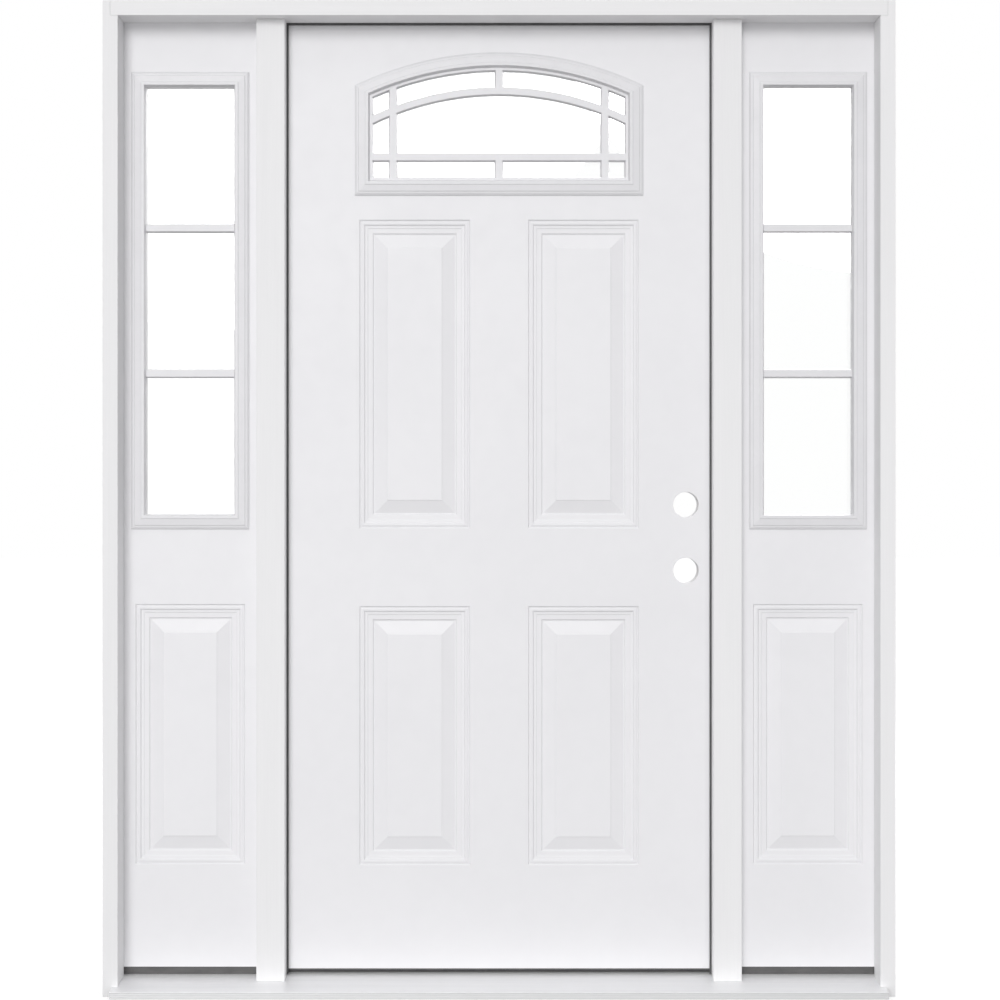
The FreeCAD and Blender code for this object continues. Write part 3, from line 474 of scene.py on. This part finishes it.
def dark_finish(name, colour, shade, stretch, blotch, grain, roughness, depth):
    """Composite, vinyl or rubber: dark, with flecks and an uneven sheen."""
    material, tree, shader = new_material(name, IOR=1.48, Specular_IOR_Level=0.4)
    coat = place_effect(tree, sprayed_surface, colour=colour, blotch_colour=shade, stretch=stretch,
                        blotch_scale=blotch, grain_scale=grain, roughness=roughness, sheen_variation=0.22)
    join(tree, coat.outputs["Colour"], shader.inputs["Base Color"])
    join(tree, coat.outputs["Roughness"], shader.inputs["Roughness"])
    bump(tree, shader, coat.outputs["Height"], depth)
    return material


def clear_glass(name):
    """Float glass with its faint draw lines; lamps shine through it without a shadow."""
    material, tree, shader = new_material(name, Roughness=0.0, IOR=1.5, Transmission_Weight=1.0)
    waves = place_effect(tree, sprayed_surface, colour=(0.998, 1.0, 0.999),
                         blotch_colour=(0.994, 0.998, 0.996), stretch=(1.0, 1.0, 0.35), blotch_scale=3.0,
                         grain_scale=14.0)
    join(tree, waves.outputs["Colour"], shader.inputs["Base Color"])
    bump(tree, shader, waves.outputs["Height"], 0.00002, 0.2)
    rays = add_node(tree, "ShaderNodeLightPath")
    passing = arithmetic(tree, "MAXIMUM", rays.outputs["Is Shadow Ray"], rays.outputs["Is Diffuse Ray"])
    open_way = add_node(tree, "ShaderNodeBsdfTransparent")
    either = add_node(tree, "ShaderNodeMixShader")
    join(tree, passing, either.inputs[0])
    join(tree, shader.outputs[0], either.inputs[1])
    join(tree, open_way.outputs[0], either.inputs[2])
    outlet = next(node for node in tree.nodes if node.type == "OUTPUT_MATERIAL")
    join(tree, either.outputs[0], outlet.inputs["Surface"])
    return material


# Mesh helpers

def crisp_shading():
    """Geometry nodes that weld a carried-over mesh and keep every bend in it crisp."""
    name = "weld and shade"
    group = bpy.data.node_groups.get(name)
    if group:
        return group
    group = bpy.data.node_groups.new(name, "GeometryNodeTree")
    group.interface.new_socket("Geometry", in_out="INPUT", socket_type="NodeSocketGeometry")
    group.interface.new_socket("Geometry", in_out="OUTPUT", socket_type="NodeSocketGeometry")
    inlet, outlet = add_node(group, "NodeGroupInput"), add_node(group, "NodeGroupOutput")
    bare = add_node(group, "GeometryNodeRemoveAttribute")
    bare.inputs["Name"].default_value = "custom_normal"
    weld = add_node(group, "GeometryNodeMergeByDistance")
    weld.inputs["Distance"].default_value = 0.000004
    faces = add_node(group, "GeometryNodeSetShadeSmooth", domain="FACE")
    faces.inputs["Shade Smooth"].default_value = True
    bend = add_node(group, "GeometryNodeInputMeshEdgeAngle")
    sharp = add_node(group, "FunctionNodeCompare", data_type="FLOAT", operation="GREATER_THAN")
    sharp.inputs[1].default_value = 0.0
    edges = add_node(group, "GeometryNodeSetShadeSmooth", domain="EDGE")
    edges.inputs["Shade Smooth"].default_value = False
    join(group, inlet.outputs[0], bare.inputs["Geometry"])
    join(group, bare.outputs[0], weld.inputs["Geometry"])
    join(group, weld.outputs[0], faces.inputs["Geometry"])
    join(group, faces.outputs[0], edges.inputs["Geometry"])
    join(group, bend.outputs["Unsigned Angle"], sharp.inputs[0])
    join(group, sharp.outputs[0], edges.inputs["Selection"])
    join(group, edges.outputs[0], outlet.inputs[0])
    return group


def finish_node(name, material, arris=0.0, least_bend=PLAIN_BEND):
    """Give a carried-over piece its finish, and ease the edges that bend by more than the least bend."""
    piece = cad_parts[name]
    for slot in piece.material_slots:
        slot.material = material
    if not piece.material_slots:
        piece.data.materials.append(material)
    shading = piece.modifiers.new("weld and shade", "NODES")
    shading.node_group = crisp_shading()
    if arris:
        eased = piece.modifiers.new("eased edges", "BEVEL")
        eased.width = arris
        eased.segments = 2
        eased.limit_method = "ANGLE"
        eased.angle_limit = math.radians(least_bend)
        eased.harden_normals = True
        eased.use_clamp_overlap = True


def new_piece(name, mesh, material, body):
    piece = bpy.data.objects.new(name, mesh)
    bpy.context.scene.collection.objects.link(piece)
    piece.data.materials.append(material)
    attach(piece, body)


def add_screw_head(mesh, centre, outward, turn, radius, crown):
    """A flat countersunk head with a cross recess, added to a bmesh."""
    seat = outward.to_track_quat("Z", "Y").to_matrix().to_4x4()
    place = Matrix.Translation(centre) @ seat @ Matrix.Rotation(turn, 4, "Z")
    steps = 48
    slot_half = radius * 0.13
    slot_reach = radius * 0.62
    rings = []
    for ring_radius, height in ((radius, 0.0), (radius * 0.95, crown * 0.75), (radius * 0.80, crown)):
        start = Vector((ring_radius, 0.0, height))
        rings.append([mesh.verts.new(place @ Matrix.Rotation(math.tau * step / steps, 4, "Z") @ start)
                      for step in range(steps)])
    for low, high in zip(rings, rings[1:]):
        for step in range(steps):
            following = (step + 1) % steps
            mesh.faces.new((low[step], low[following], high[following], high[step]))
    corner = ((slot_reach, -slot_half, 0.0), (slot_reach, slot_half, 0.0), (slot_half, slot_half, 0.0))
    outline = [Matrix.Rotation(quarter * math.pi / 2, 4, "Z") @ Vector(point)
               for quarter in range(4) for point in corner]
    rim = [mesh.verts.new(place @ Vector((x, y, crown))) for x, y, _ in outline]
    foot = [mesh.verts.new(place @ Vector((x * 0.6, y * 0.6, -crown * 1.5))) for x, y, _ in outline]
    for index in range(len(rim)):
        following = (index + 1) % len(rim)
        mesh.faces.new((rim[index], rim[following], foot[following], foot[index]))
    mesh.faces.new(foot[::-1])
    top = rings[-1]
    edges = [mesh.edges.get((top[i], top[(i + 1) % steps])) for i in range(steps)]
    edges += [mesh.edges.get((rim[i], rim[(i + 1) % len(rim)])) for i in range(len(rim))]
    bmesh.ops.triangle_fill(mesh, use_beauty=True, use_dissolve=False, edges=edges)


def screw_places(plate, face, outward):
    """Where a hinge leaf's screws sit, staggered up its height, and how far each slot is turned."""
    detail = bpy.context.scene.entry_door_detail
    low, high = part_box(plate)
    middle = low[1] + detail.screw_line
    first_turn, next_turn = 0.35, 1.1
    rise = (high[2] - low[2] - 2 * detail.screw_end_margin) / (detail.screw_count - 1)
    for index in range(detail.screw_count):
        sideways = detail.screw_stagger * (1 if index % 2 else -1)
        centre = Vector((face, middle + sideways, low[2] + detail.screw_end_margin + index * rise))
        yield centre, outward, first_turn + index * next_turn


# The pieces

class ENTRYDOOR_OT_frame_wood(bpy.types.Operator):
    """Prime the jambs, the head and the two posts"""
    bl_idname = "entry_door.frame_wood"
    bl_label = "Jambs, head and posts"

    def execute(self, context):
        arris = context.scene.entry_door_detail.wood_arris
        upright = primed_wood("primed_upright", (1.0, 1.0, 0.06))
        across = primed_wood("primed_head", (0.06, 1.0, 1.0))
        for name in ("left_jamb", "right_jamb", "hinge_mullion", "lock_mullion"):
            finish_node(name, upright, arris)
        finish_node("head_jamb", across, arris)
        return {"FINISHED"}


class ENTRYDOOR_OT_steel_skins(bpy.types.Operator):
    """Prime the embossed steel skins of the leaf and the sidelights"""
    bl_idname = "entry_door.steel_skins"
    bl_label = "Steel skins"

    def execute(self, context):
        finish = context.scene.entry_door_finish
        arris = context.scene.entry_door_detail.steel_arris
        steel = white_finish("primed_steel", finish.steel, finish.steel_shade, blotch=3.5, grain=650.0,
                             roughness=0.42, depth=0.00003, seam_shade_amount=0.45)
        for owner in GLAZED:
            for face in ("outer", "inner"):
                finish_node("%s_%s_skin" % (owner, face), steel, arris, PRESSED_BEND)
        return {"FINISHED"}


class ENTRYDOOR_OT_slab_cores(bpy.types.Operator):
    """Show the bare pine of the stiles and rails along the slabs, and the pale block round the bores"""
    bl_idname = "entry_door.slab_cores"
    bl_label = "Stiles, rails and lock block"

    def execute(self, context):
        finish = context.scene.entry_door_finish
        arris = context.scene.entry_door_detail.steel_arris
        upright = bare_pine("pine_stile", (1.0, 1.0, 0.05))
        across = bare_pine("pine_rail", (0.05, 1.0, 1.0))
        for name in ("hinge_stile", "lock_stile", "left_sidelight_stiles", "right_sidelight_stiles"):
            finish_node(name, upright, arris)
        pale = white_finish("pale_lock_block", finish.primer, finish.primer_shade, blotch=20.0, grain=1200.0,
                            roughness=0.6, depth=0.00008, seam_shade_amount=0.2)
        finish_node("lock_block", pale, arris)
        for name in ("top_rail", "bottom_rail", "left_sidelight_rails", "right_sidelight_rails"):
            finish_node(name, across, arris)
        return {"FINISHED"}


class ENTRYDOOR_OT_lite_frames(bpy.types.Operator):
    """Finish the moulded frames round the glass"""
    bl_idname = "entry_door.lite_frames"
    bl_label = "Lite frames"

    def execute(self, context):
        finish = context.scene.entry_door_finish
        arris = context.scene.entry_door_detail.plastic_arris
        moulded = white_finish("moulded_lite_frame", finish.plastic, finish.plastic_shade, blotch=11.0,
                               grain=1400.0, roughness=0.38, depth=0.00003, seam_shade_amount=0.5)
        for owner in GLAZED:
            for face in ("outside", "inside"):
                finish_node("%s_lite_frame_%s" % (owner, face), moulded, arris, PRESSED_BEND)
        return {"FINISHED"}


class ENTRYDOOR_OT_grilles(bpy.types.Operator):
    """Finish the bars that divide the lites"""
    bl_idname = "entry_door.grilles"
    bl_label = "Grilles"

    def execute(self, context):
        finish = context.scene.entry_door_finish
        arris = context.scene.entry_door_detail.plastic_arris
        bars = white_finish("moulded_grille", finish.plastic, finish.plastic_shade, blotch=14.0, grain=1600.0,
                            roughness=0.36, depth=0.00002, seam_shade_amount=0.4)
        for owner in GLAZED:
            finish_node("%s_grille_outside" % owner, bars, arris, PRESSED_BEND)
        return {"FINISHED"}


class ENTRYDOOR_OT_glazing(bpy.types.Operator):
    """Finish the panes and the white spacer between them"""
    bl_idname = "entry_door.glazing"
    bl_label = "Glass and spacers"

    def execute(self, context):
        finish = context.scene.entry_door_finish
        glass = clear_glass("clear_float_glass")
        spacer = white_finish("white_spacer", finish.plastic, finish.plastic_shade, blotch=25.0, grain=1500.0,
                              roughness=0.5, depth=0.00002, seam_shade_amount=0.2)
        for owner in GLAZED:
            finish_node("%s_glass" % owner, glass)
            finish_node("%s_glass_spacer" % owner, spacer)
        return {"FINISHED"}


class ENTRYDOOR_OT_sill(bpy.types.Operator):
    """Finish the aluminium deck and the composite under and behind it"""
    bl_idname = "entry_door.sill"
    bl_label = "Sill"

    def execute(self, context):
        finish = context.scene.entry_door_finish
        arris = context.scene.entry_door_detail.metal_arris
        deck = deck_finish("mill_aluminium_deck")
        composite = dark_finish("sill_composite", finish.composite, finish.composite_shade,
                                stretch=(0.3, 1.0, 1.0), blotch=60.0, grain=1100.0, roughness=0.62,
                                depth=0.00012)
        finish_node("sill_deck", deck, arris)
        for name in ("sill_base", "sill_cap", "left_sidelight_block", "right_sidelight_block"):
            finish_node(name, composite, arris)
        return {"FINISHED"}


class ENTRYDOOR_OT_seals(bpy.types.Operator):
    """Finish the weatherstrip round the leaf and the sweep under it"""
    bl_idname = "entry_door.seals"
    bl_label = "Weatherstrip and sweep"

    def execute(self, context):
        finish = context.scene.entry_door_finish
        arris = context.scene.entry_door_detail.metal_arris
        vinyl = dark_finish("dark_vinyl", finish.vinyl, finish.vinyl_shade, stretch=(1.0, 1.0, 0.4),
                            blotch=30.0, grain=900.0, roughness=0.6, depth=0.00005)
        for name in ("head_weatherstrip", "hinge_side_weatherstrip", "lock_side_weatherstrip", "door_sweep"):
            finish_node(name, vinyl, arris)
        return {"FINISHED"}


class ENTRYDOOR_OT_hinges(bpy.types.Operator):
    """Finish the hinge leaves and pins and set their screws"""
    bl_idname = "entry_door.hinges"
    bl_label = "Hinges and screws"

    def execute(self, context):
        detail = context.scene.entry_door_detail
        plates = zinc_finish("satin_zinc", stretch=(1.0, 1.0, 0.05), lines=1300.0, roughness=0.34)
        screws = zinc_finish("zinc_screw", stretch=(1.0, 1.0, 1.0), lines=900.0, roughness=0.3)
        finish_node("hinge_pins", plates, detail.metal_arris)
        door_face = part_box("hinge_stile")[0][0]
        frame_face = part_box("top_hinge_frame_plate")[0][0] + detail.frame_leaf_face
        for body, kind, face, outward in (("frame", "frame", frame_face, Vector((1, 0, 0))),
                                          ("door_leaf", "door", door_face, Vector((-1, 0, 0)))):
            mesh = bmesh.new()
            for hinge in HINGES:
                plate = "%s_hinge_%s_plate" % (hinge, kind)
                finish_node(plate, plates, detail.metal_arris)
                for centre, way, turn in screw_places(plate, face, outward):
                    add_screw_head(mesh, centre, way, turn, detail.screw_radius, detail.screw_crown)
            data = bpy.data.meshes.new("%s_hinge_screws" % kind)
            mesh.to_mesh(data)
            mesh.free()
            new_piece("%s_hinge_screws" % kind, data, screws, body)
        return {"FINISHED"}


class ENTRYDOOR_OT_stage(bpy.types.Operator):
    """Set the floor, the white surroundings, the lamps and the camera"""
    bl_idname = "entry_door.stage"
    bl_label = "Studio"

    def execute(self, context):
        studio = context.scene.entry_door_studio
        lay_floor(studio)
        light_surroundings(context, studio)
        hang_key(studio)
        for name, power, width, place, target in LAMPS:
            hang_lamp(name, getattr(studio, power), width, place, target)
        set_camera(context, studio)
        return {"FINISHED"}


# The studio

def lay_floor(studio):
    """A matt floor that still takes the unit's shadow, lightened to near white for the camera."""
    half = studio.floor_size / 2
    data = bpy.data.meshes.new("studio_floor")
    corners = [(-half, -half, -0.001), (half, -half, -0.001), (half, half, -0.001), (-half, half, -0.001)]
    data.from_pydata(corners, [], [(0, 1, 2, 3)])
    floor = bpy.data.objects.new("studio_floor", data)
    bpy.context.scene.collection.objects.link(floor)
    material, tree, shader = new_material("pale_floor", Roughness=0.9, Specular_IOR_Level=0.1)
    coat = place_effect(tree, sprayed_surface, colour=(0.40, 0.40, 0.40), blotch_colour=(0.385, 0.385, 0.385),
                        blotch_scale=1.5, grain_scale=300.0, roughness=0.9, sheen_variation=0.05)
    join(tree, coat.outputs["Colour"], shader.inputs["Base Color"])
    shader.inputs["Emission Strength"].default_value = 1.0
    lift = add_node(tree, "ShaderNodeMix", data_type="RGBA")
    lift.inputs[6].default_value = (0.0, 0.0, 0.0, 1.0)
    lift.inputs[7].default_value = (studio.floor_lift,) * 3 + (1.0,)
    join(tree, seen_ray(tree), lift.inputs[0])
    join(tree, lift.outputs[2], shader.inputs["Emission Color"])
    data.materials.append(material)


def seen_ray(tree):
    """1 for a ray from the camera, or off metal, or through glass."""
    rays = add_node(tree, "ShaderNodeLightPath")
    seen = arithmetic(tree, "MAXIMUM", rays.outputs["Is Camera Ray"], rays.outputs["Is Glossy Ray"])
    return arithmetic(tree, "MAXIMUM", seen, rays.outputs["Is Transmission Ray"])


def light_surroundings(context, studio):
    """Soft light that grows from the horizon to overhead, and plain white wherever it is seen."""
    world = bpy.data.worlds.new("white_studio")
    world.use_nodes = True
    tree = world.node_tree
    tree.nodes.clear()
    soft = add_node(tree, "ShaderNodeBackground")
    soft.inputs["Color"].default_value = (0.985, 0.985, 1.0, 1.0)
    direction = add_node(tree, "ShaderNodeTexCoord")
    parts = add_node(tree, "ShaderNodeSeparateXYZ")
    join(tree, direction.outputs["Generated"], parts.inputs[0])
    join(tree, spread(tree, parts.outputs["Z"], -0.2, 0.7, 0.35 * studio.ambient, 1.3 * studio.ambient),
         soft.inputs["Strength"])
    white = add_node(tree, "ShaderNodeBackground")
    white.inputs["Color"].default_value = (1.0, 1.0, 1.0, 1.0)
    white.inputs["Strength"].default_value = 1.0
    either = add_node(tree, "ShaderNodeMixShader")
    join(tree, seen_ray(tree), either.inputs[0])
    join(tree, soft.outputs[0], either.inputs[1])
    join(tree, white.outputs[0], either.inputs[2])
    join(tree, either.outputs[0], add_node(tree, "ShaderNodeOutputWorld").inputs["Surface"])
    context.scene.world = world


def hang_lamp(name, power, size, place, target):
    data = bpy.data.lights.new(name, "AREA")
    data.shape = "DISK"
    data.size = size
    data.energy = power
    lamp = bpy.data.objects.new(name, data)
    lamp.location = place
    lamp.rotation_euler = (Vector(target) - Vector(place)).to_track_quat("-Z", "Y").to_euler()
    bpy.context.scene.collection.objects.link(lamp)


def hang_key(studio):
    """A far, broad lamp, low enough that the head throws a narrow shadow."""
    data = bpy.data.lights.new("key_lamp", "SUN")
    data.energy = studio.key_power
    data.angle = studio.key_softness
    lamp = bpy.data.objects.new("key_lamp", data)
    lamp.rotation_euler = (math.pi / 2 - studio.key_height, 0.0, -studio.key_side)
    bpy.context.scene.collection.objects.link(lamp)


def set_camera(context, studio):
    data = bpy.data.cameras.new("front_camera")
    data.lens = studio.lens
    data.sensor_width = 36.0
    data.clip_end = 200.0
    camera = bpy.data.objects.new("front_camera", data)
    camera.location = (studio.camera_shift, -studio.camera_distance, studio.camera_height)
    camera.rotation_euler = (math.pi / 2, 0.0, 0.0)
    context.scene.collection.objects.link(camera)
    context.scene.camera = camera
    context.scene.view_settings.view_transform = "Standard"


# Panel and registration

OPERATORS = (
    ENTRYDOOR_OT_frame_wood, ENTRYDOOR_OT_steel_skins, ENTRYDOOR_OT_slab_cores, ENTRYDOOR_OT_lite_frames,
    ENTRYDOOR_OT_grilles, ENTRYDOOR_OT_glazing, ENTRYDOOR_OT_sill, ENTRYDOOR_OT_seals, ENTRYDOOR_OT_hinges,
    ENTRYDOOR_OT_stage,
)
SETTINGS = (
    ("entry_door_finish", EntryDoorFinish),
    ("entry_door_detail", EntryDoorDetail),
    ("entry_door_studio", EntryDoorStudio),
)


class ENTRYDOOR_PT_sidebar(bpy.types.Panel):
    """The unit's pieces and settings in the sidebar"""
    bl_idname = "ENTRYDOOR_PT_sidebar"
    bl_label = "Entry door with sidelights"
    bl_space_type = "VIEW_3D"
    bl_region_type = "UI"
    bl_category = "Entry Door"

    def draw(self, context):
        buttons = self.layout.column(align=True)
        for operator in OPERATORS:
            buttons.operator(operator.bl_idname)
        for name, settings in SETTINGS:
            box = self.layout.box()
            for setting in settings.__annotations__:
                box.prop(getattr(context.scene, name), setting)


def classes():
    return [settings for _, settings in SETTINGS] + list(OPERATORS) + [ENTRYDOOR_PT_sidebar]


def register():
    for kind in classes():
        bpy.utils.register_class(kind)
    for name, settings in SETTINGS:
        setattr(bpy.types.Scene, name, PointerProperty(type=settings))


def unregister():
    for name, _ in SETTINGS:
        delattr(bpy.types.Scene, name)
    for kind in reversed(classes()):
        bpy.utils.unregister_class(kind)


def main():
    register()
    bpy.ops.entry_door.frame_wood()
    bpy.ops.entry_door.steel_skins()
    bpy.ops.entry_door.slab_cores()
    bpy.ops.entry_door.lite_frames()
    bpy.ops.entry_door.grilles()
    bpy.ops.entry_door.glazing()
    bpy.ops.entry_door.sill()
    bpy.ops.entry_door.seals()
    bpy.ops.entry_door.hinges()
    bpy.ops.entry_door.stage()


if __name__ == "__main__":
    main()
